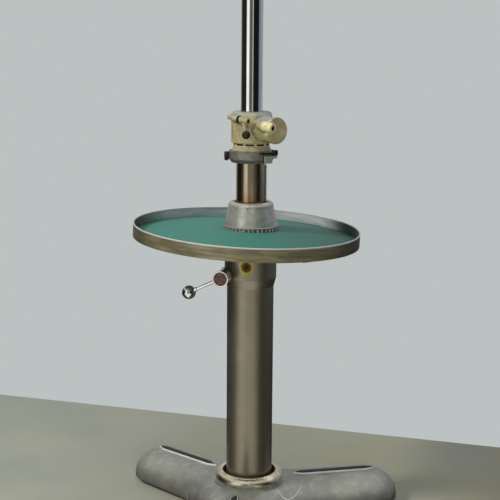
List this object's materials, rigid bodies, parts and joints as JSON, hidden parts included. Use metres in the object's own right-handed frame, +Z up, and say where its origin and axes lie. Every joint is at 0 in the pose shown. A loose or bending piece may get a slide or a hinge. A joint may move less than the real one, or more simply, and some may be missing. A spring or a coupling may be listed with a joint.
{
  "type": "studio camera stand",
  "caption": "Heavy studio camera stand: cast tripod base, crank-raised polished column, lined round tray, swivelling clamp head and sliding chromed mast.",
  "frame": {"origin": "on the floor, under the axis of the column", "axes": "+Z up the column, -Y towards the viewer's side where the crank hub shows its disc, +X to the right"},
  "size_m": [0.6725, 0.6678, 1.5],
  "materials": {
    "base_paint": "grey-brown hammered paint, satin",
    "column_paint": "grey-brown metallic paint, satin",
    "pad_rubber": "matt black rubber",
    "tread_rubber": "worn black rubber",
    "trim_metal": "bright drawn strip",
    "collar_metal": "polished, slightly yellowed",
    "plain_steel": "machined",
    "bearing_brass": "bearing bronze, turned",
    "column_steel": "ground and polished, oily",
    "cast_aluminium": "turned casting with pits",
    "bright_screw": "bright",
    "tray_metal": "dull, olive-brown outside, bright lip",
    "linoleum": "sea-green linoleum, satin",
    "ring_grey": "dull grey, turned",
    "black_plastic": "black phenolic",
    "dark_steel": "dark, oily",
    "enamel": "cream enamel, worn",
    "chrome": "bright chrome",
    "disc_red": "red-brown"
  },
  "bodies": {
    "stand": {"base_casting": "base_paint", "base_pads": "pad_rubber", "pad_screws": "plain_steel", "tread_trims": "trim_metal", "tread_rubbers": "tread_rubber", "foot_collar": "collar_metal", "column_bolts": "plain_steel", "column_plug": "plain_steel", "outer_column": "column_paint", "column_head": "column_paint", "oiler": "bearing_brass", "upper_bush": "bearing_brass", "cone_bush": "bearing_brass", "pinion_bushes": "bearing_brass", "boss_cap": "column_paint", "tray_pan": "tray_metal", "tray_lining": "linoleum", "tray_spider": "column_paint", "spider_screws": "plain_steel", "cone_hub": "cast_aluminium", "cone_screws": "bright_screw"},
    "lift_column": {"inner_column": "column_steel", "drive_rack": "plain_steel", "guide_rack": "plain_steel", "lower_guide": "bearing_brass", "clamp_ring": "ring_grey"},
    "crank": {"pinion": "plain_steel", "pinion_shaft": "plain_steel", "crank_hub": "chrome", "crank_disc": "disc_red", "crank_rod": "chrome", "crank_ball": "chrome"},
    "ring_lever": {"ring_lever": "black_plastic"},
    "ring_knob": {"ring_knob": "black_plastic"},
    "head": {"head_spigot": "plain_steel", "head_collar": "enamel", "neck_ring": "dark_steel", "head_housing": "enamel", "barrel_cap": "enamel", "mast_bush": "bearing_brass", "clamp_nut": "enamel"},
    "mast_lever": {"mast_lever_hub": "enamel", "mast_lever_washer": "black_plastic", "mast_lever_screw": "plain_steel", "mast_lever_arm": "enamel", "mast_lever_ball": "black_plastic"},
    "barrel_screw": {"barrel_screw": "plain_steel"},
    "mast": {"mast_tube": "chrome", "mast_stop": "plain_steel", "mast_foot": "plain_steel", "mast_top": "chrome", "camera_stud": "chrome"}
  },
  "joints": [
    {"name": "lift", "type": "slide", "parent": "stand", "child": "lift_column", "axis": [0, 0, 1], "range_m": [-0.08, 0.4]},
    {"name": "crank_turn", "type": "hinge", "parent": "stand", "child": "crank", "pos_m": [-0.04656, 0.01247, 0.601], "axis": [-0.2588, -0.9659, 0], "range_deg": [-306, 1528]},
    {"name": "head_swivel", "type": "hinge", "parent": "lift_column", "child": "head", "pos_m": [0, 0, 0.9], "axis": [0, 0, 1], "continuous": true},
    {"name": "mast_slide", "type": "slide", "parent": "head", "child": "mast", "axis": [0, 0, 1], "range_m": [-0.45, 0.2]},
    {"name": "mast_lever_turn", "type": "hinge", "parent": "head", "child": "mast_lever", "pos_m": [-0.0266, -0.049, 0.9685], "axis": [0.7809, -0.6109, -0.13], "range_deg": [-95, 0]},
    {"name": "barrel_screw_turn", "type": "hinge", "parent": "head", "child": "barrel_screw", "pos_m": [0.0483, -0.106, 0.9534], "axis": [0.7809, -0.6109, -0.13], "range_deg": [-90, 90]},
    {"name": "ring_lever_turn", "type": "hinge", "parent": "lift_column", "child": "ring_lever", "pos_m": [0.05437, -0.02852, 0.885], "axis": [0, 0, 1], "range_deg": [0, 110]},
    {"name": "ring_knob_turn", "type": "hinge", "parent": "lift_column", "child": "ring_knob", "pos_m": [-0.05757, -0.00707, 0.8805], "axis": [-0.9925, -0.1219, 0], "continuous": true}
  ],
  "couplings": [
    {"joint": "crank_turn", "follows": "lift", "rad_per_m": 66.667}
  ]
}
